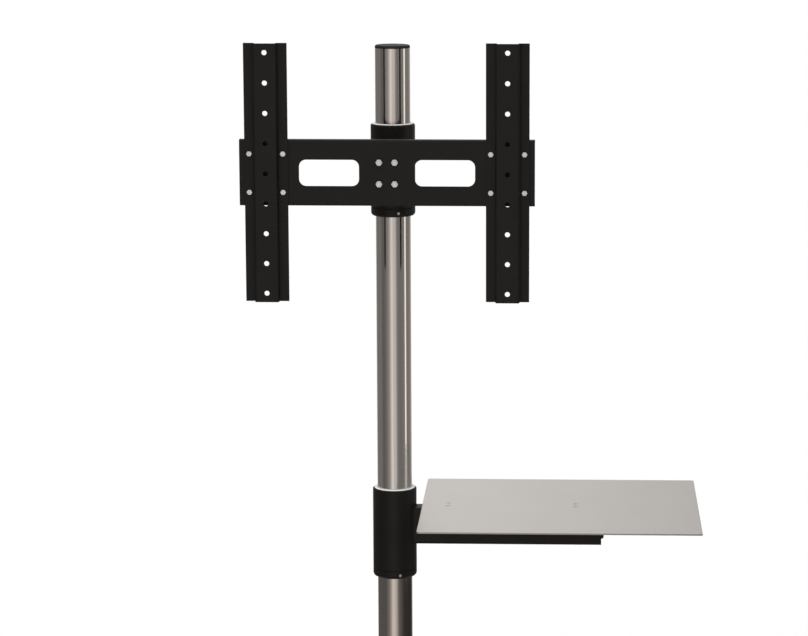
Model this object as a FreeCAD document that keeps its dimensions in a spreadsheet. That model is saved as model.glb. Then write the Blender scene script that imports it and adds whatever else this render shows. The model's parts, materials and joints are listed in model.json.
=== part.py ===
"""Pole stand: a round foot, a steel pole, and on it a swivelling shelf and a tilting mount with two rails.

Millimetres and degrees, +Z up. The origin is on the pole's axis at the floor, -Y is the front, and the shelf
points to +X at rest.
"""

import FreeCAD, Part
import os
import re
import Sketcher

Vec = FreeCAD.Vector
UP = Vec(0, 0, 1)

# Driving dimensions
SIZES = {
    # Heights above the floor
    "stand_height": 1400,
    "shelf_height": 600,
    "mount_height": 1200,
    # Clearances, each on one side of a fit
    "slide_gap": 0.3,
    "thrust_gap": 0.2,
    "press_gap": 0.05,
    "bolt_gap": 0.25,
    "slot_gap": 0.5,
    "thread_end_gap": 0.5,
    "bolt_overrun": 1,
    "cut_margin": 1,
    # Foot
    "base_diameter": 560,
    "base_thickness": 12,
    "base_rounding": 4,
    "mat_thickness": 3,
    "mat_inset": 8,
    "flange_diameter": 130,
    "flange_thickness": 8,
    "flange_spigot": 24,
    "flange_bolt_circle": 96,
    "flange_thread": 10,
    "flange_thread_depth": 9,
    "flange_head_width": 17,
    "flange_head_height": 6.5,
    "flange_washer_diameter": 20,
    "flange_washer_thickness": 2,
    "rosette_diameter": 150,
    "rosette_height": 26,
    "rosette_wall": 1.5,
    "rosette_rounding": 10,
    # Pole
    "pole_diameter": 60,
    "pole_wall": 2,
    "cap_thickness": 5,
    "cap_rounding": 3,
    "cap_spigot": 18,
    "cap_wall": 2.5,
    # Sleeves, bushes and stop rings, alike on the shelf and on the mount
    "sleeve_diameter": 76,
    "sleeve_wall": 3,
    "sleeve_length": 143,
    "sleeve_below_arm": 77,
    "sleeve_chamfer": 2,
    "sleeve_break": 0.4,
    "bush_depth": 25,
    "bush_proud": 1,
    "bush_foot": 0.3,
    "bush_chamfer": 0.4,
    "ring_height": 14,
    "ring_rounding": 6,
    "ring_chamfer": 0.4,
    "stop_thread": 5,
    "stop_proud": 0.4,
    "stop_socket": 2.5,
    "stop_socket_depth": 3,
    "stop_azimuth": -73,
    # Arms of rectangular tube
    "arm_height": 64,
    "arm_width": 40,
    "arm_wall": 3,
    "arm_corner": 6,
    "shelf_arm_reach": 360,
    "mount_arm_reach": 84,
    "arm_cap_depth": 18,
    "arm_cap_wall": 2.5,
    "arm_cap_proud": 4.5,
    "arm_cap_inset": 9,
    "arm_cap_rounding": 4,
    # Shelf plate and the countersunk screws that hold it on the arm
    "shelf_width": 480,
    "shelf_depth": 400,
    "shelf_thickness": 3,
    "shelf_corner": 4,
    "shelf_edge_rounding": 1,
    "shelf_gap": 10,
    "shelf_thread": 6,
    "shelf_head_diameter": 11.6,
    "shelf_screw_length": 8,
    "shelf_screw_socket": 4,
    "shelf_screw_socket_depth": 1.8,
    "shelf_screw_margin": 45,
    "shelf_screw_gauge": 20,
    # Tilt joint
    "yoke_width": 60,
    "yoke_wall": 5,
    "yoke_height": 70,
    "yoke_pivot": 30,
    "yoke_nose": 18,
    "yoke_bend": 2,
    "tilt_thread": 10,
    "tilt_head_width": 17,
    "tilt_head_height": 6.5,
    "tilt_nut_height": 8,
    "tilt_washer_diameter": 24,
    "tilt_washer_thickness": 1.5,
    "tilt_down": 15,
    "tilt_up": 5,
    "lock_radius": 22,
    "lock_thread": 6,
    "lock_head_diameter": 11,
    "lock_head_height": 3.3,
    "lock_head_rounding": 2.3,
    "lock_socket": 4,
    "lock_socket_depth": 2,
    "cradle_wall": 5,
    "cradle_height": 60,
    "cradle_reach": 34,
    "cradle_tail": 14,
    "cradle_rounding": 12,
    "cradle_bend": 2,
    "cradle_thread": 6,
    "cradle_head_width": 10,
    "cradle_head_height": 4,
    "cradle_nut_height": 5,
    "cradle_bolt_gauge": 26,
    "cradle_bolt_rise": 36,
    # Cross plate and rails
    "cross_margin": 9,
    "cross_height": 110,
    "cross_wall": 3,
    "cross_lip": 12,
    "cross_bend": 1,
    "window_height": 44,
    "window_corner": 12,
    "window_margin": 18,
    "rail_length": 430,
    "rail_width": 40,
    "rail_depth": 15,
    "rail_wall": 2.5,
    "rail_foot": 16,
    "rail_bend": 1,
    "rail_thread": 5,
    "rail_head_width": 8,
    "rail_head_height": 3.5,
    "rail_nut_height": 4,
    "rail_bolt_rise": 64,
    "rail_span": 400,
    "rail_hole": 8.5,
    "rail_hole_pitch": 50,
    "rail_hole_rows": 9,
}

# Places and sizes that follow from the driving dimensions
DERIVED = {
    "base_top": "mat_thickness + base_thickness",
    "pole_foot": "base_top + flange_thickness",
    "pole_radius": "pole_diameter / 2",
    "pole_bore": "pole_radius - pole_wall",
    "pole_length": "stand_height - cap_thickness - pole_foot",
    "slide_radius": "pole_radius + slide_gap",
    "sleeve_radius": "sleeve_diameter / 2",
    "sleeve_bore": "sleeve_radius - sleeve_wall",
    "shelf_underside": "shelf_height - shelf_thickness",
    "shelf_arm_middle": "shelf_underside - arm_height / 2",
    "shelf_left": "sleeve_radius + shelf_gap",
    "arm_bore_height": "arm_height - 2 * arm_wall",
    "arm_bore_width": "arm_width - 2 * arm_wall",
    "arm_bore_corner": "arm_corner - arm_wall",
    "yoke_back": "-mount_arm_reach",
    "yoke_inside": "yoke_back - yoke_wall",
    "pivot": "yoke_inside - yoke_pivot",
    "yoke_front": "pivot - yoke_nose",
    "yoke_half": "yoke_width / 2 + yoke_wall",
    "cradle_half": "yoke_width / 2 - tilt_washer_thickness - thrust_gap",
    "cradle_inside": "pivot - cradle_reach",
    "cradle_front": "cradle_inside - cradle_wall",
    "cross_front": "cradle_front - cross_wall",
    "rail_half": "rail_width / 2",
    "cross_width": "rail_span + rail_width + 2 * rail_foot + 2 * cross_margin",
    "rail_foot_middle": "rail_half + rail_foot / 2",
    "lock_reach": "yoke_half + thrust_gap",
    "window_near": "cradle_half + window_margin",
    "window_far": "rail_span / 2 - rail_half - rail_foot - window_margin",
}

doc = FreeCAD.newDocument("pole_stand")
sheet = doc.addObject("Spreadsheet::Sheet", "Sizes")
for row, (name, number) in enumerate(SIZES.items(), 1):
    sheet.set(f"A{row}", str(number))
    sheet.setAlias(f"A{row}", name)
doc.recompute()

pieces = []


# Expressions
def full(expression):
    """The expression written out in the sheet's cells."""

    def cell(match):
        word = match.group(0)
        if word in DERIVED:
            return f"({full(DERIVED[word])})"
        return f"Sizes.{word}" if word in SIZES else word

    return re.sub(r"[a-z_]+", cell, str(expression))


def value(expression):
    return float(sheet.evalExpression(full(expression)))


def bind(thing, prop, expression):
    thing.setExpression(prop, full(expression))


# Sketches
def new_body(label):
    return doc.addObject("PartDesign::Body", label)


def origin_part(body, role):
    return next(part for part in body.Origin.OriginFeatures if part.Role == role)


def new_sketch(body, role, lift="0"):
    """A sketch on one of the body's origin planes, moved along the plane's normal."""
    sketch = body.newObject("Sketcher::SketchObject", f"{body.Name}_sketch")
    sketch.AttachmentSupport = [(origin_part(body, role), "")]
    sketch.MapMode = "FlatFace"
    bind(sketch, "AttachmentOffset.Base.z", lift)
    return sketch


def set_distance(sketch, kind, geometry, point, expression):
    """Holds a point of the sketch at a distance from its origin."""
    constraint = Sketcher.Constraint(kind, -1, 1, geometry, point, value(expression))
    index = sketch.addConstraint(constraint)
    bind(sketch, f"Constraints[{index}]", expression)


def polygon(sketch, corners):
    """A closed outline of straight lines through corners given as pairs of expressions."""
    spots = [Vec(value(x), value(y), 0) for x, y in corners]
    first = sketch.GeometryCount
    count = len(spots)
    for i, spot in enumerate(spots):
        sketch.addGeometry(Part.LineSegment(spot, spots[(i + 1) % count]))
    for i in range(count):
        sketch.addConstraint(Sketcher.Constraint("Coincident", first + i, 2, first + (i + 1) % count, 1))
    for i, (x, y) in enumerate(corners):
        set_distance(sketch, "DistanceX", first + i, 1, x)
        set_distance(sketch, "DistanceY", first + i, 1, y)
    return sketch


def rectangle(sketch, left, right, low, high):
    return polygon(sketch, [(left, low), (right, low), (right, high), (left, high)])


def centred_rectangle(sketch, width, height):
    return rectangle(sketch, f"-({width}) / 2", f"({width}) / 2", f"-({height}) / 2", f"({height}) / 2")


def circle(sketch, x, y, radius):
    index = sketch.addGeometry(Part.Circle(Vec(value(x), value(y), 0), UP, value(radius)))
    set_distance(sketch, "DistanceX", index, 3, x)
    set_distance(sketch, "DistanceY", index, 3, y)
    size = sketch.addConstraint(Sketcher.Constraint("Radius", index, value(radius)))
    bind(sketch, f"Constraints[{size}]", radius)
    return sketch


def hexagon(sketch, width, x="0", y="0"):
    """A hexagon about a point, given across its flats."""
    radius = f"{width} / sqrt(3)"
    turns = range(0, 360, 60)
    corners = [(f"{x} + {radius} * cos({a})", f"{y} + {radius} * sin({a})") for a in turns]
    return polygon(sketch, corners)


# Features
def extrude(kind, body, sketch, length, side="One side", backwards=False):
    feature = body.newObject(f"PartDesign::{kind}", f"{body.Name}_{kind.lower()}")
    feature.Profile = sketch
    feature.SideType = side
    feature.Reversed = backwards
    bind(feature, "Length", length)
    doc.recompute()
    return feature


def pad(body, sketch, length, **options):
    return extrude("Pad", body, sketch, length, **options)


def pocket(body, sketch, length, **options):
    """A pocket, which has to take something away."""
    before = body.Shape.Volume
    feature = extrude("Pocket", body, sketch, length, **options)
    if body.Shape.Volume >= before:
        raise RuntimeError(f"a pocket of {body.Label} cuts nothing")
    return feature


def revolve(body, sketch):
    feature = body.newObject("PartDesign::Revolution", f"{body.Name}_revolution")
    feature.Profile = sketch
    feature.ReferenceAxis = (sketch, ["V_Axis"])
    feature.Angle = 360
    doc.recompute()
    return feature


def dress(kind, body, prop, size, test):
    """A fillet or chamfer on the body's edges that pass a test."""
    base = body.Tip
    names = [f"Edge{i}" for i, edge in enumerate(base.Shape.Edges, 1) if test(edge)]
    feature = body.newObject(f"PartDesign::{kind}", f"{body.Name}_{kind.lower()}")
    feature.Base = (base, names)
    bind(feature, prop, size)
    doc.recompute()
    return feature


def fillet(body, radius, test):
    return dress("Fillet", body, "Radius", radius, test)


def chamfer(body, size, test):
    return dress("Chamfer", body, "Size", size, test)


def bend(body, radius, wall, test, outside, inside):
    """Rounds a folded sheet's corners, whose edges lie at two depths along Y."""
    outer = value(outside)
    inner = value(inside)
    fillet(body, f"{radius} + {wall}", lambda e: test(e) and close(e.CenterOfMass.y, outer))
    fillet(body, radius, lambda e: test(e) and close(e.CenterOfMass.y, inner))


def polar(body, features, count):
    """Repeats features about the body's Z axis."""
    pattern = body.newObject("PartDesign::PolarPattern", f"{body.Name}_pattern")
    pattern.Originals = features
    pattern.Axis = (origin_part(body, "Z_Axis"), [""])
    pattern.Angle = 360
    pattern.Occurrences = count
    body.Tip = pattern
    doc.recompute()
    return pattern


# Tests that pick edges
def close(a, b):
    return abs(a - b) < 1e-4


def is_circle(edge, radius, height):
    """A full or part circle about a vertical axis, at a height."""
    curve = edge.Curve
    return isinstance(curve, Part.Circle) and close(curve.Radius, radius) and close(curve.Center.z, height)


def runs_along(edge, axis):
    return isinstance(edge.Curve, Part.Line) and close(abs(edge.Curve.Direction.dot(axis)), 1)


# Placing
def place(piece, x="0", y="0", z="0", turn=None):
    """Puts a piece at x, y, z, turned about the vertical."""
    if turn is not None:
        piece.Placement.Rotation = FreeCAD.Rotation(UP, value(turn))
        bind(piece, "Placement.Rotation.Angle", turn)
    bind(piece, "Placement.Base.x", x)
    bind(piece, "Placement.Base.y", y)
    bind(piece, "Placement.Base.z", z)
    pieces.append(piece)
    return piece


def group(label, master, spots, direction):
    """Copies of one fastener, each with its head towards direction, as a group of separate solids."""
    copies = []
    for x, y, z in spots:
        copy = doc.addObject("App::Link", f"{label}_copy")
        copy.LinkedObject = master
        copy.Placement.Rotation = FreeCAD.Rotation(UP, direction)
        bind(copy, "Placement.Base.x", x)
        bind(copy, "Placement.Base.y", y)
        bind(copy, "Placement.Base.z", z)
        copies.append(copy)
    compound = doc.addObject("Part::Compound", label)
    compound.Links = copies
    return compound


def turned(label, profile):
    """A body turned about Z from a profile of radius and height."""
    body = new_body(label)
    revolve(body, polygon(new_sketch(body, "XZ_Plane"), profile))
    return body


def ring_profile(inner, outer, low, high):
    return [(inner, low), (outer, low), (outer, high), (inner, high)]


# Fasteners, each with its seat at z = 0, its head above and its shank below
def hex_bolt(label, thread, length, head_width, head_height):
    body = new_body(label)
    pad(body, hexagon(new_sketch(body, "XY_Plane"), head_width), head_height)
    pad(body, circle(new_sketch(body, "XY_Plane"), "0", "0", f"{thread} / 2"), length, backwards=True)
    return body


def hex_nut(label, thread, width, height):
    body = new_body(label)
    sketch = hexagon(new_sketch(body, "XY_Plane"), width)
    pad(body, circle(sketch, "0", "0", f"{thread} / 2 + press_gap"), height)
    return body


def cut_socket(body, width, depth, top):
    """A hexagon socket, sunk from the top of a screw's head."""
    pocket(body, hexagon(new_sketch(body, "XY_Plane", top), width), depth)


def countersunk_screw(label):
    shank = "shelf_thread / 2"
    head = "shelf_head_diameter / 2"
    slope_end = f"-({head} - {shank})"
    corners = [("0", "0"), (head, "0"), (shank, slope_end)]
    corners += [(shank, "-shelf_screw_length"), ("0", "-shelf_screw_length")]
    body = turned(label, corners)
    cut_socket(body, "shelf_screw_socket", "shelf_screw_socket_depth", "0")
    return body


def button_screw(label, thread, length):
    """A screw with a low domed head."""
    head = "lock_head_diameter / 2"
    shank = f"{thread} / 2"
    corners = [("0", f"-({length})"), (shank, f"-({length})"), (shank, "0"), (head, "0")]
    corners += [(head, "lock_head_height"), ("0", "lock_head_height")]
    body = turned(label, corners)
    top = value("lock_head_height")
    fillet(body, "lock_head_rounding", lambda e: is_circle(e, value(head), top))
    cut_socket(body, "lock_socket", "lock_socket_depth", "lock_head_height")
    return body


# Foot
def base_mat():
    radius = "base_diameter / 2 - mat_inset"
    place(turned("base_mat", ring_profile("0", radius, "0", "mat_thickness")))


def base_plate():
    radius = "base_diameter / 2"
    body = turned("base_plate", ring_profile("0", radius, "0", "base_thickness"))
    fillet(body, "base_rounding", lambda e: is_circle(e, value(radius), value("base_thickness")))
    sketch = new_sketch(body, "XY_Plane", "base_thickness")
    circle(sketch, "flange_bolt_circle / 2", "0", "flange_thread / 2 + press_gap")
    hole = pocket(body, sketch, "flange_thread_depth + thread_end_gap")
    polar(body, [hole], 4)
    place(body, z="mat_thickness")


def pole_flange():
    edge = "flange_diameter / 2"
    spigot = "pole_bore - press_gap"
    top = "flange_thickness + flange_spigot"
    corners = [("0", "0"), (edge, "0"), (edge, "flange_thickness")]
    corners += [(spigot, "flange_thickness"), (spigot, top), ("0", top)]
    body = turned("pole_flange", corners)
    sketch = new_sketch(body, "XY_Plane", "flange_thickness")
    circle(sketch, "flange_bolt_circle / 2", "0", "flange_thread / 2 + bolt_gap")
    polar(body, [pocket(body, sketch, "flange_thickness")], 4)
    place(body, z="base_top")


def flange_fasteners():
    """Four bolts with washers, which hold the pole's flange down on the foot."""
    radius = "flange_bolt_circle / 2"
    spots = [(radius, "0"), ("0", radius), (f"-{radius}", "0"), ("0", f"-{radius}")]
    washer_spots = [(x, y, "pole_foot") for x, y in spots]
    bolt_spots = [(x, y, "pole_foot + flange_washer_thickness") for x, y in spots]
    bore = "flange_thread / 2 + bolt_gap"
    edge = "flange_washer_diameter / 2"
    washer = turned("flange_washer", ring_profile(bore, edge, "0", "flange_washer_thickness"))
    length = "flange_washer_thickness + flange_thickness + flange_thread_depth"
    bolt = hex_bolt("flange_bolt", "flange_thread", length, "flange_head_width", "flange_head_height")
    place(group("flange_washers", washer, washer_spots, UP))
    place(group("flange_bolts", bolt, bolt_spots, UP))


def pole_rosette():
    """A spun cover that hides the flange and its bolts."""
    outer = "rosette_diameter / 2"
    inner = "rosette_diameter / 2 - rosette_wall"
    ceiling = "rosette_height - rosette_wall"
    corners = [(outer, "0"), (outer, "rosette_height"), ("slide_radius", "rosette_height")]
    corners += [("slide_radius", ceiling), (inner, ceiling), (inner, "0")]
    body = turned("pole_rosette", corners)
    fillet(body, "rosette_rounding", lambda e: is_circle(e, value(outer), value("rosette_height")))
    fillet(body, "rosette_rounding - rosette_wall", lambda e: is_circle(e, value(inner), value(ceiling)))
    place(body, z="base_top")


# Pole
def pole():
    place(turned("pole", ring_profile("pole_bore", "pole_radius", "0", "pole_length")), z="pole_foot")


def pole_cap():
    spigot = "pole_bore - press_gap"
    hollow = f"{spigot} - cap_wall"
    corners = [("0", "cap_thickness"), ("pole_radius", "cap_thickness"), ("pole_radius", "0"), (spigot, "0")]
    corners += [(spigot, "-cap_spigot"), (hollow, "-cap_spigot"), (hollow, "0"), ("0", "0")]
    body = turned("pole_cap", corners)
    fillet(body, "cap_rounding", lambda e: is_circle(e, value("pole_radius"), value("cap_thickness")))
    place(body, z="stand_height - cap_thickness")


# Sleeve, bushes and stop ring, alike for the shelf and the mount
def sleeve(owner, foot):
    low_edge = "sleeve_radius - sleeve_break"
    top_edge = "sleeve_radius - sleeve_chamfer"
    corners = [("sleeve_bore", "0"), (low_edge, "0"), ("sleeve_radius", "sleeve_break")]
    corners += [("sleeve_radius", "sleeve_length - sleeve_chamfer"), (top_edge, "sleeve_length")]
    corners += [("sleeve_bore", "sleeve_length")]
    place(turned(f"{owner}_sleeve", corners), z=foot)


def bushes(owner, foot):
    """Plain bearings pressed into the sleeve's ends: one stands proud, one runs on the stop ring."""
    outer = "sleeve_bore - press_gap"
    upper = [("slide_radius", "-bush_depth"), (outer, "-bush_depth"), (outer, "bush_proud - bush_chamfer")]
    upper += [(f"{outer} - bush_chamfer", "bush_proud"), ("slide_radius", "bush_proud")]
    place(turned(f"{owner}_upper_bush", upper), z=f"{foot} + sleeve_length")
    lower = ring_profile("slide_radius", outer, "-bush_foot", "bush_depth")
    place(turned(f"{owner}_lower_bush", lower), z=foot)


def stop_ring(owner, foot):
    """A ring that grub screws clamp to the pole, and the screws."""
    ring_foot = f"{foot} - bush_foot - thrust_gap - ring_height"
    body = turned(f"{owner}_stop_ring", ring_profile("slide_radius", "sleeve_radius", "0", "ring_height"))
    fillet(body, "ring_rounding", lambda e: is_circle(e, value("sleeve_radius"), 0))
    top = value("ring_height")
    chamfer(body, "ring_chamfer", lambda e: is_circle(e, value("sleeve_radius"), top))
    sketch = new_sketch(body, "YZ_Plane")
    circle(sketch, "0", "ring_height / 2", "stop_thread / 2")
    polar(body, [pocket(body, sketch, "sleeve_diameter", backwards=True)], 3)
    place(body, z=ring_foot, turn="stop_azimuth")
    screws = new_body(f"{owner}_stop_screws")
    screw_sketch = new_sketch(screws, "YZ_Plane", "slide_radius")
    circle(screw_sketch, "0", "ring_height / 2", "stop_thread / 2 - press_gap")
    shank = pad(screws, screw_sketch, "sleeve_radius + stop_proud - slide_radius")
    socket = new_sketch(screws, "YZ_Plane", "sleeve_radius + stop_proud")
    hexagon(socket, "stop_socket", y="ring_height / 2")
    polar(screws, [shank, pocket(screws, socket, "stop_socket_depth")], 3)
    place(screws, z=ring_foot, turn="stop_azimuth")


def collar(owner, arm_middle):
    """The sleeve, its bushes and the stop ring that carries them, for an arm at a height."""
    foot = f"{arm_middle} - sleeve_below_arm"
    sleeve(owner, foot)
    bushes(owner, foot)
    stop_ring(owner, foot)


# Arms
def upright_edge(edge):
    return runs_along(edge, UP)


def long_edge(edge):
    return runs_along(edge, Vec(1, 0, 0))


def arm_tube(label, reach):
    """A rectangular tube along X, whose end is coped to the sleeve."""
    body = new_body(label)
    pad(body, centred_rectangle(new_sketch(body, "YZ_Plane"), "arm_width", "arm_height"), reach)
    fillet(body, "arm_corner", long_edge)
    bore = centred_rectangle(new_sketch(body, "YZ_Plane"), "arm_bore_width", "arm_bore_height")
    pocket(body, bore, reach, backwards=True)
    half = value("arm_bore_width / 2")
    fillet(body, "arm_bore_corner", lambda e: long_edge(e) and close(abs(e.CenterOfMass.y), half))
    cope = circle(new_sketch(body, "XY_Plane"), "0", "0", "sleeve_radius")
    pocket(body, cope, "2 * arm_height", side="Symmetric")
    return body


def shelf_screw_spots():
    places = ("shelf_left + shelf_screw_margin", "shelf_arm_reach - shelf_screw_margin")
    rows = ("shelf_screw_gauge / 2", "-shelf_screw_gauge / 2")
    return [(x, y) for x in places for y in rows]


def shelf_arm():
    """The shelf's arm, with threaded holes in its top wall."""
    body = arm_tube("shelf_arm", "shelf_arm_reach")
    holes = new_sketch(body, "XY_Plane", "arm_height / 2")
    for x, y in shelf_screw_spots():
        circle(holes, x, y, "shelf_thread / 2 + press_gap")
    pocket(body, holes, "arm_wall")
    place(body, z="shelf_arm_middle")


def shelf_arm_cap():
    """A push-in plug, flush with the tube's end, with a domed pad in its middle."""
    body = new_body("shelf_arm_cap")
    width = "arm_bore_width - 2 * press_gap"
    height = "arm_bore_height - 2 * press_gap"
    plug = centred_rectangle(new_sketch(body, "YZ_Plane"), width, height)
    pad(body, plug, "arm_cap_depth", backwards=True)
    fillet(body, "arm_bore_corner", long_edge)
    hollow = new_sketch(body, "YZ_Plane", "-arm_cap_depth")
    centred_rectangle(hollow, f"{width} - 2 * arm_cap_wall", f"{height} - 2 * arm_cap_wall")
    pocket(body, hollow, "arm_cap_depth - arm_cap_wall", backwards=True)
    dome = new_sketch(body, "YZ_Plane")
    centred_rectangle(dome, "arm_width - 2 * arm_cap_inset", "arm_height - 2 * arm_cap_inset")
    pad(body, dome, "arm_cap_proud")
    proud = value("arm_cap_proud")
    fillet(body, "arm_cap_rounding", lambda e: long_edge(e) and close(e.CenterOfMass.x, proud / 2))
    fillet(body, "arm_cap_rounding", lambda e: close(e.BoundBox.XMin, proud))
    place(body, x="shelf_arm_reach", z="shelf_arm_middle")


# Shelf
def shelf_plate():
    body = new_body("shelf_plate")
    outline = new_sketch(body, "XY_Plane")
    rectangle(outline, "shelf_left", "shelf_left + shelf_width", "-shelf_depth / 2", "shelf_depth / 2")
    pad(body, outline, "shelf_thickness")
    fillet(body, "shelf_corner", upright_edge)
    top = value("shelf_thickness")
    fillet(body, "shelf_edge_rounding", lambda e: close(e.BoundBox.ZMin, top))
    holes = new_sketch(body, "XY_Plane", "shelf_thickness")
    bore = "shelf_thread / 2 + bolt_gap"
    for x, y in shelf_screw_spots():
        circle(holes, x, y, bore)
    pocket(body, holes, "shelf_thickness")
    chamfer(body, "(shelf_head_diameter - shelf_thread) / 2", lambda e: is_circle(e, value(bore), top))
    place(body, z="shelf_underside")


def shelf_screws():
    spots = [(x, y, "shelf_height") for x, y in shelf_screw_spots()]
    place(group("shelf_screws", countersunk_screw("shelf_screw"), spots, UP))


# Tilt joint
def mount_arm():
    place(arm_tube("mount_arm", "mount_arm_reach"), z="mount_height", turn="-90")


def tilt_yoke():
    """A channel welded to the mount's arm, whose ears carry the tilt bolt and have the lock slots."""
    body = new_body("tilt_yoke")
    half = "yoke_width / 2"
    corners = [("-yoke_half", "yoke_back"), ("yoke_half", "yoke_back"), ("yoke_half", "yoke_front")]
    corners += [(half, "yoke_front"), (half, "yoke_inside"), (f"-{half}", "yoke_inside")]
    corners += [(f"-{half}", "yoke_front"), ("-yoke_half", "yoke_front")]
    pad(body, polygon(new_sketch(body, "XY_Plane"), corners), "yoke_height", side="Symmetric")
    bend(body, "yoke_bend", "yoke_wall", upright_edge, "yoke_back", "yoke_inside")
    front = value("yoke_front")
    fillet(body, "yoke_nose", lambda e: runs_along(e, Vec(1, 0, 0)) and close(e.CenterOfMass.y, front))
    across = "2 * yoke_half + 2 * cut_margin"
    bolt_hole = circle(new_sketch(body, "YZ_Plane"), "pivot", "0", "tilt_thread / 2 + bolt_gap")
    pocket(body, bolt_hole, across, side="Symmetric")
    slot = new_sketch(body, "XZ_Plane", "-(pivot)")
    width = "lock_thread / 2 + slot_gap"
    side = "yoke_half + cut_margin"
    rectangle(slot, f"-({side})", side, f"lock_radius - ({width})", f"lock_radius + {width}")
    before = body.Shape.Volume
    groove = body.newObject("PartDesign::Groove", "tilt_yoke_groove")
    groove.Profile = slot
    groove.ReferenceAxis = (slot, ["H_Axis"])
    groove.Type = "TwoAngles"
    margin = f"asin(({width}) / lock_radius)"
    bind(groove, "Angle", f"tilt_down * 1deg + {margin}")
    bind(groove, "Angle2", f"tilt_up * 1deg + {margin}")
    doc.recompute()
    if body.Shape.Volume >= before:
        raise RuntimeError("the yoke's slots cut nothing")
    place(body, z="mount_height")


def tilt_bolt():
    """The bolt, its nut and the two friction washers between the ears."""
    right = Vec(1, 0, 0)
    shank = "2 * yoke_half + tilt_nut_height + bolt_overrun"
    bolt = hex_bolt("tilt_bolt_master", "tilt_thread", shank, "tilt_head_width", "tilt_head_height")
    place(group("tilt_bolt", bolt, [("yoke_half", "pivot", "mount_height")], right))
    nut = hex_nut("tilt_nut_master", "tilt_thread", "tilt_head_width", "tilt_nut_height")
    place(group("tilt_nut", nut, [("-yoke_half", "pivot", "mount_height")], -right))
    bore = "tilt_thread / 2 + bolt_gap"
    edge = "tilt_washer_diameter / 2"
    washer = turned("tilt_washer", ring_profile(bore, edge, "0", "tilt_washer_thickness"))
    near = "yoke_width / 2 - tilt_washer_thickness"
    far = "-yoke_width / 2"
    spots = [(near, "pivot", "mount_height"), (far, "pivot", "mount_height")]
    place(group("tilt_washers", washer, spots, right))


def tilt_cradle():
    """A channel that swings between the yoke's ears and carries the cross plate."""
    body = new_body("tilt_cradle")
    inner = "cradle_half - cradle_wall"
    tail = "pivot + cradle_tail"
    corners = [("-cradle_half", tail), ("-cradle_half", "cradle_front"), ("cradle_half", "cradle_front")]
    corners += [("cradle_half", tail), (inner, tail), (inner, "cradle_inside")]
    corners += [(f"-({inner})", "cradle_inside"), (f"-({inner})", tail)]
    pad(body, polygon(new_sketch(body, "XY_Plane"), corners), "cradle_height", side="Symmetric")
    bend(body, "cradle_bend", "cradle_wall", upright_edge, "cradle_front", "cradle_inside")
    end = value(tail)
    fillet(body, "cradle_rounding", lambda e: runs_along(e, Vec(1, 0, 0)) and close(e.CenterOfMass.y, end))
    across = "2 * cradle_half + 2 * cut_margin"
    holes = new_sketch(body, "YZ_Plane")
    circle(holes, "pivot", "0", "tilt_thread / 2 + slide_gap")
    circle(holes, "pivot", "lock_radius", "lock_thread / 2 + press_gap")
    pocket(body, holes, across, side="Symmetric")
    bolts = new_sketch(body, "XZ_Plane", "-(cradle_front)")
    for x, z in cradle_bolt_spots():
        circle(bolts, x, z, "cradle_thread / 2 + bolt_gap")
    pocket(body, bolts, "cradle_wall")
    place(body, z="mount_height")


def lock_screws():
    """Two screws that run in the yoke's slots and clamp the tilt."""
    length = "lock_reach - cradle_half + cradle_wall"
    screw = button_screw("lock_screw", "lock_thread", length)
    height = "mount_height + lock_radius"
    right = Vec(1, 0, 0)
    pair = []
    for side, direction in (("lock_reach", right), ("-(lock_reach)", -right)):
        pair.append(group("lock_screw_side", screw, [(side, "pivot", height)], direction))
    both = doc.addObject("Part::Compound", "tilt_lock_screws")
    both.Links = pair
    place(both)


# Cross plate and rails
def cradle_bolt_spots():
    x = "cradle_bolt_gauge / 2"
    z = "cradle_bolt_rise / 2"
    return [(x, z), (f"-{x}", z), (x, f"-{z}"), (f"-{x}", f"-{z}")]


def rail_bolt_spots():
    """The bolts through both feet of both rails."""
    z = "rail_bolt_rise / 2"
    columns = []
    for side in (-1, 1):
        for foot in (-1, 1):
            columns.append(f"{side} * (rail_span / 2 + {foot} * (rail_foot_middle))")
    return [(x, height) for x in columns for height in (z, f"-{z}")]


def cross_plate():
    """A folded plate with lips along its top and bottom."""
    body = new_body("cross_plate")
    lip = "cradle_front + cross_lip"
    edge = "cross_height / 2"
    inner = f"{edge} - cross_wall"
    corners = [("cross_front", f"-{edge}"), (lip, f"-{edge}"), (lip, f"-({inner})")]
    corners += [("cradle_front", f"-({inner})"), ("cradle_front", inner), (lip, inner)]
    corners += [(lip, edge), ("cross_front", edge)]
    pad(body, polygon(new_sketch(body, "YZ_Plane"), corners), "cross_width", side="Symmetric")
    bend(body, "cross_bend", "cross_wall", long_edge, "cross_front", "cradle_front")
    holes = new_sketch(body, "XZ_Plane", "-(cross_front)")
    for x, z in cradle_bolt_spots():
        circle(holes, x, z, "cradle_thread / 2 + bolt_gap")
    for x, z in rail_bolt_spots():
        circle(holes, x, z, "rail_thread / 2 + bolt_gap")
    pocket(body, holes, "cross_wall")
    windows = new_sketch(body, "XZ_Plane", "-(cross_front)")
    half = "window_height / 2"
    rectangle(windows, "window_near", "window_far", f"-{half}", half)
    rectangle(windows, "-(window_far)", "-(window_near)", f"-{half}", half)
    pocket(body, windows, "cross_wall")
    rise = value(half)
    through = Vec(0, 1, 0)
    fillet(body, "window_corner", lambda e: runs_along(e, through) and close(abs(e.CenterOfMass.z), rise))
    place(body, z="mount_height")


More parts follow.
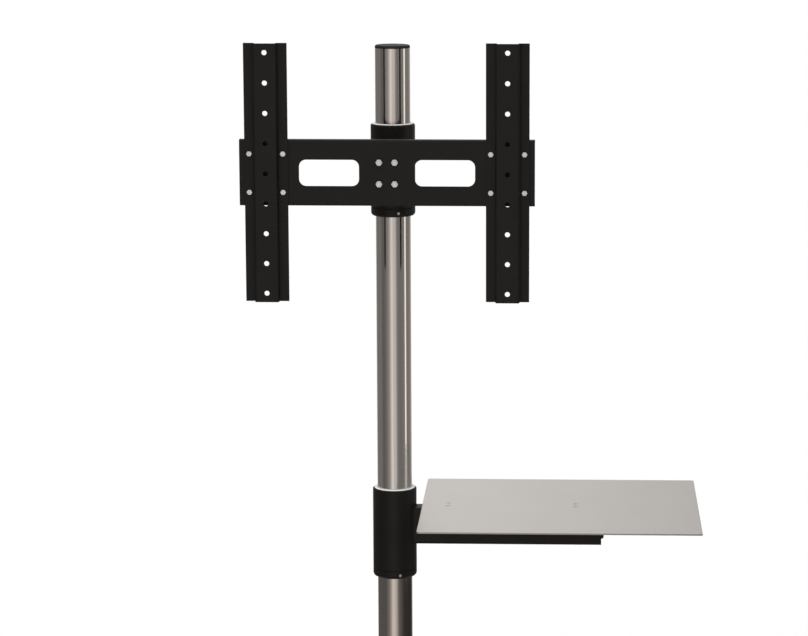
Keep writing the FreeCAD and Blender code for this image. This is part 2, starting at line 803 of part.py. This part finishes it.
def rail(label, x):
    """A hat section with a row of screw holes down its web, and feet bolted to the cross plate."""

    def foot_corner(edge):
        return upright_edge(edge) and abs(edge.CenterOfMass.x) < value("rail_foot_middle")

    body = new_body(label)
    outer = "rail_half + rail_foot"
    inner = "rail_half - rail_wall"
    ceiling = "-(rail_depth - rail_wall)"
    right = [("rail_half", "-rail_depth"), ("rail_half", "-rail_wall"), (outer, "-rail_wall"), (outer, "0")]
    right += [(inner, "0"), (inner, ceiling)]
    left = [(f"-({across})", along) for across, along in reversed(right)]
    pad(body, polygon(new_sketch(body, "XY_Plane"), right + left), "rail_length", side="Symmetric")
    bend(body, "rail_bend", "rail_wall", upright_edge, "-rail_depth", ceiling)
    bend(body, "rail_bend", "rail_wall", foot_corner, "0", "-rail_wall")
    feet = new_sketch(body, "XZ_Plane")
    for side in (-1, 1):
        for rise in (-1, 1):
            foot_middle = f"{side} * (rail_foot_middle)"
            circle(feet, foot_middle, f"{rise} * rail_bolt_rise / 2", "rail_thread / 2 + bolt_gap")
    pocket(body, feet, "rail_wall", backwards=True)
    web = new_sketch(body, "XZ_Plane", "rail_depth")
    circle(web, "0", "-(rail_hole_rows - 1) / 2 * rail_hole_pitch", "rail_hole / 2")
    hole = pocket(body, web, "rail_wall")
    row = body.newObject("PartDesign::LinearPattern", f"{label}_row")
    row.Originals = [hole]
    row.Direction = (origin_part(body, "Z_Axis"), [""])
    bind(row, "Length", "(rail_hole_rows - 1) * rail_hole_pitch")
    bind(row, "Occurrences", "rail_hole_rows")
    body.Tip = row
    place(body, x=x, y="cross_front", z="mount_height")


def cradle_fasteners():
    """Bolts from inside the cradle, with nuts in front of the plate."""
    front = Vec(0, -1, 0)
    length = "cradle_wall + cross_wall + cradle_nut_height + bolt_overrun"
    bolt = hex_bolt("cradle_bolt", "cradle_thread", length, "cradle_head_width", "cradle_head_height")
    bolts = [(x, "cradle_inside", f"mount_height + {z}") for x, z in cradle_bolt_spots()]
    place(group("cradle_bolts", bolt, bolts, -front))
    nut = hex_nut("cradle_nut", "cradle_thread", "cradle_head_width", "cradle_nut_height")
    nuts = [(x, "cross_front", f"mount_height + {z}") for x, z in cradle_bolt_spots()]
    place(group("cradle_nuts", nut, nuts, front))


def rail_fasteners():
    """Bolts from the front through the rails' feet, with nuts behind the plate."""
    front = Vec(0, -1, 0)
    length = "rail_wall + cross_wall + rail_nut_height + bolt_overrun"
    bolt = hex_bolt("rail_bolt", "rail_thread", length, "rail_head_width", "rail_head_height")
    bolts = [(x, "cross_front - rail_wall", f"mount_height + {z}") for x, z in rail_bolt_spots()]
    place(group("rail_bolts", bolt, bolts, front))
    nut = hex_nut("rail_nut", "rail_thread", "rail_head_width", "rail_nut_height")
    nuts = [(x, "cradle_front", f"mount_height + {z}") for x, z in rail_bolt_spots()]
    place(group("rail_nuts", nut, nuts, -front))


# Assembly
base_mat()
base_plate()
pole_flange()
flange_fasteners()
pole_rosette()
pole()
pole_cap()
collar("shelf", "shelf_arm_middle")
shelf_arm()
shelf_arm_cap()
shelf_plate()
shelf_screws()
collar("mount", "mount_height")
mount_arm()
tilt_yoke()
tilt_bolt()
tilt_cradle()
lock_screws()
cross_plate()
rail("left_rail", "-rail_span / 2")
rail("right_rail", "rail_span / 2")
cradle_fasteners()
rail_fasteners()
doc.recompute()

# Checks, then one file for each piece
for thing in doc.Objects:
    if {"Invalid", "Error"} & set(thing.State):
        raise RuntimeError(f"{thing.Label} failed: {thing.State}")
for piece in pieces:
    if piece.Shape.isNull() or not piece.Shape.isValid():
        raise RuntimeError(f"{piece.Label} has no valid shape")
os.makedirs("parts", exist_ok=True)
for piece in pieces:
    piece.Shape.exportStep(f"parts/{piece.Label}.step")
    print(piece.Label, len(piece.Shape.Solids), round(piece.Shape.Volume))
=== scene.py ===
"""Looks of the pole stand: finishes, weld beads, studio and camera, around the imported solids."""

import json
import math

import bpy
from mathutils import Euler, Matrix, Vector


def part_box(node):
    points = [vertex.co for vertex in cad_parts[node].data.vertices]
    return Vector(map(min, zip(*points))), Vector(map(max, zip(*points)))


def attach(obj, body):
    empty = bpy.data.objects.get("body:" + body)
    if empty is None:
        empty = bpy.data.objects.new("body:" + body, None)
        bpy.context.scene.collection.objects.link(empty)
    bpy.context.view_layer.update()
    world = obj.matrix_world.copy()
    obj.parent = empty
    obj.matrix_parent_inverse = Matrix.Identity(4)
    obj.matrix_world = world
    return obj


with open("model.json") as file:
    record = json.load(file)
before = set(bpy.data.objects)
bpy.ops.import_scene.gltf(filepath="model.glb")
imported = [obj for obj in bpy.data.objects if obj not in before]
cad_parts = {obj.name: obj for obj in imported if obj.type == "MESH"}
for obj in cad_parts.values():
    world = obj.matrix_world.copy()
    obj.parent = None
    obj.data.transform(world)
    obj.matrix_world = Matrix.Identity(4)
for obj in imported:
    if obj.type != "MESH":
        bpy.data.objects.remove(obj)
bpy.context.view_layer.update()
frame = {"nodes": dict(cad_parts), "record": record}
nodes = frame["nodes"]
MM = 0.001

# Camera, at the photograph's viewing angle, with its place in metres and its turns in degrees
CAMERA_PLACE = (0.312, -4.931, 1.780)
CAMERA_YAW = 1.80
CAMERA_PITCH = -9.776
CAMERA_LENS = 129.4
CAMERA_SHIFT = -0.10

# Floor and lights, in metres and degrees
FLOOR_SIZE = 400.0
FLOOR_DROP = 0.5 * MM
FLOOR_COLOUR = (0.90, 0.90, 0.90)
FLOOR_PALER = 1.02
FLOOR_CLOUD = 3.0
FLOOR_ROUGHNESS = 0.9
FLOOR_SPECULAR = 0.1
SKY_STRENGTH = 0.80
SUN_STRENGTH = 1.25
SUN_WIDTH = 60
SUN_AIM = (0.45, 0.55, -1.0)

# Card round the stand, for the reflections, in metres
CARD_RADIUS = 1.5
CARD_HEIGHT = 2.6
CARD_DROP = 0.2 * MM
CARD_SIDES = 96
CARD_LOW_END = 0.10
CARD_HIGH_START = 0.20
CARD_HIGH_TINT = (1.0, 0.93, 0.875)
CARD_LOW_TINT = (1.0, 0.90, 0.82)
CARD_FLOOR = 0.62
CARD_FLOOR_FADE = (0.40, 1.20)

# Brightness round the card's high part, by the angle from the front in degrees, positive to the right
CARD_HIGH = [
    # Back light, left half
    (-180, 0.85), (-155, 0.60),
    # Dim left side
    (-135, 0.24), (-90, 0.26), (-71, 0.16), (-55, 0.20), (-40, 0.30),
    # Main light
    (-26, 0.45), (-14, 0.92), (-7, 1.15), (0, 0.80), (14, 0.80), (22, 0.40),
    # Dim right side, with a narrow strip light
    (30, 0.27), (46, 0.24), (64, 0.27), (79, 0.32), (82, 1.60), (89, 1.60), (93, 0.28),
    # Back light, right half
    (132, 0.30), (155, 0.60), (180, 0.85),
]

# Brightness round the card's low part, which is darker on the right
CARD_LOW = [
    # Back light, left half
    (-180, 0.55), (-150, 0.14),
    # Main light
    (-60, 0.13), (-40, 0.24), (-26, 0.44), (-12, 0.92), (3, 0.82), (14, 0.60), (27, 0.19),
    # Dark right side
    (56, 0.075), (72, 0.04), (135, 0.04),
    # Back light, right half
    (160, 0.30), (180, 0.55),
]

# Surfaces, with the noise patterns' scales per metre
NOISE_BAND = (0.3, 0.7)
# Band of the normal's upright part over which the painted shade on upright faces gives way to the
# plain tone
LEVEL_BAND = (0.3, 0.6)
GRAIN_DETAIL = 4.0
GRAIN_DEPTH = 0.02 * MM
GRAIN_STRENGTH = 0.10
METAL_CLOUD = 6.0
SKIN_CLOUD = 24.0
SKIN_CLOUD_DETAIL = 3.0
SKIN_STRENGTH = 0.22
SKIN_SPECULAR = 0.23
SOFT_DETAIL = 2.0

# Fasteners' broken edges
EDGE_BREAKS = {
    "flange_bolts": 0.5 * MM,
    "tilt_bolt": 0.5 * MM,
    "tilt_nut": 0.5 * MM,
    "cradle_bolts": 0.35 * MM,
    "cradle_nuts": 0.35 * MM,
    "rail_bolts": 0.3 * MM,
    "rail_nuts": 0.3 * MM,
}
EDGE_MERGE = 0.005 * MM
EDGE_SEGMENTS = 2
EDGE_ANGLE = 35

# Weld beads, with each slow wave's count round the path and its swell
BEAD_RADIUS = 1.7 * MM
BEAD_RIPPLE = 2.4 * MM
BEAD_RIPPLE_SWELL = 0.08
BEAD_WAVES = [(5, 0.05), (11, 0.04)]
BEAD_STEP = 0.6 * MM
BEAD_SIDES = 10
ARM_CORNER = 6 * MM


# Node trees
def new_material(name, kind="ShaderNodeBsdfPrincipled"):
    """A node material with only an output and one shader."""
    material = bpy.data.materials.new(name)
    material.use_nodes = True
    tree = material.node_tree
    tree.nodes.clear()
    output = tree.nodes.new("ShaderNodeOutputMaterial")
    shader = tree.nodes.new(kind)
    tree.links.new(shader.outputs[0], output.inputs["Surface"])
    return material, tree, shader


def coordinates(tree, kind):
    """Each point's place or normal in the object's own axes, by the name of that output."""
    return tree.nodes.new("ShaderNodeTexCoord").outputs[kind]


def split(tree, source):
    """The X, Y and Z of a vector."""
    node = tree.nodes.new("ShaderNodeSeparateXYZ")
    tree.links.new(source, node.inputs["Vector"])
    return node.outputs


def calculate(tree, operation, source):
    """A math node on one number."""
    node = tree.nodes.new("ShaderNodeMath")
    node.operation = operation
    tree.links.new(source, node.inputs[0])
    return node


def mixed(tree, factor):
    """A node that mixes the colours at its inputs A and B."""
    node = tree.nodes.new("ShaderNodeMix")
    node.data_type = "RGBA"
    tree.links.new(factor, node.inputs["Factor"])
    return node


def noise(tree, scale, detail):
    """The grey value of a noise pattern, in object coordinates stretched along each axis."""
    mapping = tree.nodes.new("ShaderNodeMapping")
    mapping.inputs["Scale"].default_value = scale
    pattern = tree.nodes.new("ShaderNodeTexNoise")
    pattern.inputs["Scale"].default_value = 1.0
    pattern.inputs["Detail"].default_value = detail
    tree.links.new(coordinates(tree, "Object"), mapping.inputs["Vector"])
    tree.links.new(mapping.outputs["Vector"], pattern.inputs["Vector"])
    return pattern.outputs["Fac"]


def ramp(tree, source, stops):
    """Maps a grey value onto colours, given as pairs of a position and a colour."""
    node = tree.nodes.new("ShaderNodeValToRGB")
    elements = node.color_ramp.elements
    while len(elements) < len(stops):
        elements.new(0.5)
    for element, (position, colour) in zip(elements, stops):
        element.position = position
        element.color = (*colour, 1.0)
    tree.links.new(source, node.inputs["Fac"])
    return node.outputs["Color"]


def mottle(tree, source, dark, light):
    """Two colours, mixed by the middle range of a noise pattern."""
    return ramp(tree, source, list(zip(NOISE_BAND, (dark, light))))


def spread(tree, source, from_low, from_high, to_low, to_high):
    """Maps one range of numbers onto another."""
    node = tree.nodes.new("ShaderNodeMapRange")
    node.inputs["From Min"].default_value = from_low
    node.inputs["From Max"].default_value = from_high
    node.inputs["To Min"].default_value = to_low
    node.inputs["To Max"].default_value = to_high
    tree.links.new(source, node.inputs["Value"])
    return node.outputs["Result"]


def bump(tree, shader, source, depth, strength):
    """Relief on a shader's surface."""
    node = tree.nodes.new("ShaderNodeBump")
    node.inputs["Distance"].default_value = depth
    node.inputs["Strength"].default_value = strength
    tree.links.new(source, node.inputs["Height"])
    tree.links.new(node.outputs["Normal"], shader.inputs["Normal"])


def on_upright(tree, tone, upright_shade):
    """The tone on level faces, and a darker colour painted on upright ones as shade."""
    axes = split(tree, coordinates(tree, "Normal"))
    level = calculate(tree, "ABSOLUTE", axes["Z"])
    mix = mixed(tree, spread(tree, level.outputs["Value"], *LEVEL_BAND, 0.0, 1.0))
    # Painted shade: the darker colour on upright faces
    mix.inputs["A"].default_value = (*upright_shade, 1.0)
    tree.links.new(tone, mix.inputs["B"])
    return mix.outputs["Result"]


def tinted(level, tint):
    """A colour, made lighter or darker by one factor."""
    return tuple(level * channel for channel in tint)


# Materials
def grained_metal(name, grain, colours, roughness, upright_shade=None):
    """Bare metal whose grain lines are long where the grain's scale is small."""
    material, tree, shader = new_material(name)
    lines = noise(tree, grain, GRAIN_DETAIL)
    cloud = noise(tree, (METAL_CLOUD,) * 3, SOFT_DETAIL)
    tone = mottle(tree, cloud, *colours)
    # Painted shade on upright faces, where a shade colour is given
    if upright_shade:
        tone = on_upright(tree, tone, upright_shade)
    tree.links.new(tone, shader.inputs["Base Color"])
    tree.links.new(spread(tree, lines, *NOISE_BAND, *roughness), shader.inputs["Roughness"])
    bump(tree, shader, lines, GRAIN_DEPTH, GRAIN_STRENGTH)
    shader.inputs["Metallic"].default_value = 1.0
    return material


def pole_steel():
    """Tube polished round its girth."""
    colours = [(0.57, 0.55, 0.53), (0.60, 0.58, 0.56)]
    return grained_metal("pole_steel", (25, 25, 2600), colours, (0.07, 0.12))


def shelf_steel():
    """Sheet brushed along its width, with shade painted on its upright cut edges as a darker colour.
    """
    colours = [(0.717, 0.729, 0.728), (0.737, 0.750, 0.748)]
    # Painted shade for the upright cut edges, which stand in the shade
    upright_shade = (0.40, 0.395, 0.39)
    return grained_metal("shelf_steel", (18, 1500, 1500), colours, (0.36, 0.46), upright_shade)


def zinc():
    """Bright zinc, a little cloudy."""
    colours = [(0.60, 0.62, 0.64), (0.70, 0.72, 0.74)]
    return grained_metal("zinc", (900, 900, 900), colours, (0.24, 0.38))


def skinned(name, grain, colours, roughness, relief):
    """Paint or plastic with a fine all-over skin."""
    material, tree, shader = new_material(name)
    skin = noise(tree, (grain,) * 3, SOFT_DETAIL)
    cloud = noise(tree, (SKIN_CLOUD,) * 3, SKIN_CLOUD_DETAIL)
    tree.links.new(mottle(tree, cloud, *colours), shader.inputs["Base Color"])
    tree.links.new(spread(tree, skin, *NOISE_BAND, *roughness), shader.inputs["Roughness"])
    bump(tree, shader, skin, relief, SKIN_STRENGTH)
    shader.inputs["Specular IOR Level"].default_value = SKIN_SPECULAR
    return material


def powder_coat():
    """Satin black paint."""
    colours = [(0.0036, 0.0036, 0.0032), (0.0048, 0.0048, 0.0043)]
    return skinned("powder_coat", 620.0, colours, (0.42, 0.52), 0.06 * MM)


def nylon():
    """White bearing plastic."""
    colours = [(0.86, 0.86, 0.84), (0.90, 0.90, 0.88)]
    return skinned("nylon", 900.0, colours, (0.40, 0.52), 0.04 * MM)


def plastic():
    """Black moulded plastic."""
    colours = [(0.010, 0.010, 0.010), (0.015, 0.015, 0.015)]
    return skinned("plastic", 1100.0, colours, (0.46, 0.58), 0.05 * MM)


def rubber():
    """Dull black rubber."""
    colours = [(0.014, 0.014, 0.014), (0.021, 0.021, 0.021)]
    return skinned("rubber", 700.0, colours, (0.70, 0.82), 0.08 * MM)


MATERIALS = {
    "stainless": pole_steel(),
    "black_powder_coat": powder_coat(),
    "shelf_steel": shelf_steel(),
    "white_nylon": nylon(),
    "black_plastic": plastic(),
    "zinc_steel": zinc(),
    "rubber": rubber(),
}

for part in frame["record"]["subparts"]:
    surface = nodes[part["node"]].data
    surface.materials.clear()
    surface.materials.append(MATERIALS[part["material_slot"]])


# Fasteners
def break_edges(solid, width):
    """Takes the sharpness off a fastener's edges."""
    weld = solid.modifiers.new("weld", "WELD")
    weld.merge_threshold = EDGE_MERGE
    bevel = solid.modifiers.new("bevel", "BEVEL")
    bevel.width = width
    bevel.segments = EDGE_SEGMENTS
    bevel.angle_limit = math.radians(EDGE_ANGLE)
    solid.modifiers.new("normals", "WEIGHTED_NORMAL")


for name, width in EDGE_BREAKS.items():
    break_edges(nodes[name], width)


# Meshes and weld beads
def new_mesh(name, corners, faces):
    """An object made of corners and faces."""
    mesh = bpy.data.meshes.new(name)
    mesh.from_pydata(corners, [], faces)
    thing = bpy.data.objects.new(name, mesh)
    bpy.context.scene.collection.objects.link(thing)
    return thing


def tube_outline(half_width, half_height, corner):
    """Points about BEAD_STEP apart round a rectangular tube's rounded outline."""
    points = []
    steps = round(corner * math.pi / 2 / BEAD_STEP)
    for quarter, (side, rise) in enumerate(((1, 1), (-1, 1), (-1, -1), (1, -1))):
        middle = Vector((side * (half_width - corner), rise * (half_height - corner)))
        for i in range(steps + 1):
            turn = math.pi / 2 * (quarter + i / steps)
            points.append(middle + corner * Vector((math.cos(turn), math.sin(turn))))
    spaced = []
    for point, after in zip(points, points[1:] + points[:1]):
        count = max(1, round((after - point).length / BEAD_STEP))
        spaced += [point.lerp(after, i / count) for i in range(count)]
    return spaced


def swollen(turn, ripples):
    """The bead's radius at a turn of its path, with fine ripples and a few slow waves."""
    waves = sum(swell * math.sin(count * turn) for count, swell in BEAD_WAVES)
    return BEAD_RADIUS * (1 + BEAD_RIPPLE_SWELL * math.sin(ripples * turn) + waves)


def bead(name, body, path, axis):
    """A rippled bead of weld along a closed path round an axis."""
    count = len(path)
    length = sum((path[i] - path[i - 1]).length for i in range(count))
    ripples = round(length / BEAD_RIPPLE)
    corners = []
    faces = []
    for i, point in enumerate(path):
        along = (path[(i + 1) % count] - path[i - 1]).normalized()
        across = axis.cross(along).normalized()
        up = along.cross(across)
        radius = swollen(2 * math.pi * i / count, ripples)
        row = i * BEAD_SIDES
        next_row = (i + 1) % count * BEAD_SIDES
        for j in range(BEAD_SIDES):
            spoke = 2 * math.pi * j / BEAD_SIDES
            offset = across * math.cos(spoke) + up * math.sin(spoke)
            corners.append(point + offset * radius)
            beside = (j + 1) % BEAD_SIDES
            faces.append((row + j, row + beside, next_row + beside, next_row + j))
    weld = new_mesh(name, corners, faces)
    weld.data.shade_smooth()
    weld.data.materials.append(MATERIALS["black_powder_coat"])
    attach(weld, body)


def weld_arms():
    """Beads where each arm meets its sleeve, and where the mount's arm meets the yoke."""
    arm_low, arm_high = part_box("shelf_arm")
    half_width = (arm_high.y - arm_low.y) / 2
    half_height = (arm_high.z - arm_low.z) / 2
    outline = tube_outline(half_width, half_height, ARM_CORNER)
    sleeve_low, sleeve_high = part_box("shelf_sleeve")
    sleeve_radius = (sleeve_high.x - sleeve_low.x) / 2
    shelf_height = (arm_low.z + arm_high.z) / 2
    mount_low, mount_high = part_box("mount_arm")
    mount_height = (mount_low.z + mount_high.z) / 2
    saddle = [(math.sqrt(sleeve_radius**2 - point.x**2), point.x, point.y) for point in outline]
    shelf_seam = [Vector((out, side, shelf_height + up)) for out, side, up in saddle]
    mount_seam = [Vector((side, -out, mount_height + up)) for out, side, up in saddle]
    yoke_seam = [Vector((point.x, mount_low.y, mount_height + point.y)) for point in outline]
    bead("shelf_arm_weld", "shelf", shelf_seam, Vector((1, 0, 0)))
    bead("mount_arm_weld", "mount", mount_seam, Vector((0, 1, 0)))
    bead("tilt_yoke_weld", "mount", yoke_seam, Vector((0, 1, 0)))


weld_arms()


# Studio
def make_floor():
    """Plain pale floor with the faintest mottle."""
    bpy.ops.mesh.primitive_plane_add(size=FLOOR_SIZE, location=(0, 0, -FLOOR_DROP))
    floor = bpy.context.object
    floor.name = "floor"
    material, tree, shader = new_material("floor")
    cloud = noise(tree, (FLOOR_CLOUD,) * 3, SOFT_DETAIL)
    tone = mottle(tree, cloud, FLOOR_COLOUR, tinted(FLOOR_PALER, FLOOR_COLOUR))
    tree.links.new(tone, shader.inputs["Base Color"])
    shader.inputs["Roughness"].default_value = FLOOR_ROUGHNESS
    shader.inputs["Specular IOR Level"].default_value = FLOOR_SPECULAR
    floor.data.materials.append(material)


def card_stops(levels, tint):
    """The card's brightness, as stops of a ramp that runs once round it."""
    return [(angle / 360 + 0.5, tinted(level, tint)) for angle, level in levels]


def card_material():
    """Glow that changes round the card and up it, and fades to one tone on its disc."""
    material, tree, glow = new_material("card", "ShaderNodeEmission")
    place = coordinates(tree, "Object")
    axes = split(tree, place)
    front = calculate(tree, "MULTIPLY", axes["Y"])
    front.inputs[1].default_value = -1.0
    angle = calculate(tree, "ARCTAN2", axes["X"])
    tree.links.new(front.outputs["Value"], angle.inputs[1])
    round_it = spread(tree, angle.outputs["Value"], -math.pi, math.pi, 0.0, 1.0)
    wall = mixed(tree, spread(tree, axes["Z"], CARD_LOW_END, CARD_HIGH_START, 0.0, 1.0))
    tree.links.new(ramp(tree, round_it, card_stops(CARD_LOW, CARD_LOW_TINT)), wall.inputs["A"])
    tree.links.new(ramp(tree, round_it, card_stops(CARD_HIGH, CARD_HIGH_TINT)), wall.inputs["B"])
    distance = tree.nodes.new("ShaderNodeVectorMath")
    distance.operation = "LENGTH"
    tree.links.new(place, distance.inputs[0])
    card = mixed(tree, spread(tree, distance.outputs["Value"], *CARD_FLOOR_FADE, 0.0, 1.0))
    card.inputs["A"].default_value = (*tinted(CARD_FLOOR, CARD_LOW_TINT), 1.0)
    tree.links.new(wall.outputs["Result"], card.inputs["B"])
    tree.links.new(card.outputs["Result"], glow.inputs["Color"])
    return material


def make_card():
    """A round card about the stand, with a disc under it, which shows only in reflections."""
    turns = [2 * math.pi * i / CARD_SIDES for i in range(CARD_SIDES)]
    rim = [(CARD_RADIUS * math.cos(turn), CARD_RADIUS * math.sin(turn)) for turn in turns]
    corners = [(x, y, height) for height in (-CARD_DROP, CARD_HEIGHT) for x, y in rim]
    walls = []
    for i in range(CARD_SIDES):
        after = (i + 1) % CARD_SIDES
        walls.append((i, after, CARD_SIDES + after, CARD_SIDES + i))
    card = new_mesh("reflection_card", corners, walls + [tuple(range(CARD_SIDES))])
    card.data.materials.append(card_material())
    card.visible_camera = False
    card.visible_diffuse = False
    card.visible_shadow = False


def make_sky():
    """Even white light from all round."""
    world = bpy.data.worlds.new("studio")
    world.use_nodes = True
    background = world.node_tree.nodes["Background"]
    background.inputs["Color"].default_value = (1.0, 1.0, 1.0, 1.0)
    background.inputs["Strength"].default_value = SKY_STRENGTH
    bpy.context.scene.world = world


def make_sun():
    """Broad soft light from the upper left, kept out of the reflections."""
    data = bpy.data.lights.new("sun", "SUN")
    data.energy = SUN_STRENGTH
    data.angle = math.radians(SUN_WIDTH)
    sun = bpy.data.objects.new("sun", data)
    sun.rotation_euler = Vector(SUN_AIM).to_track_quat("-Z", "Y").to_euler()
    sun.visible_glossy = False
    bpy.context.scene.collection.objects.link(sun)


def make_camera():
    """The photograph's view."""
    data = bpy.data.cameras.new("camera")
    data.lens = CAMERA_LENS
    data.shift_x = CAMERA_SHIFT
    data.clip_end = FLOOR_SIZE
    camera = bpy.data.objects.new("camera", data)
    camera.location = CAMERA_PLACE
    camera.rotation_euler = Euler((math.radians(90 + CAMERA_PITCH), 0, math.radians(CAMERA_YAW)))
    bpy.context.scene.collection.objects.link(camera)
    bpy.context.scene.camera = camera


make_floor()
make_card()
make_sky()
make_sun()
make_camera()
bpy.context.scene.view_settings.view_transform = "Standard"
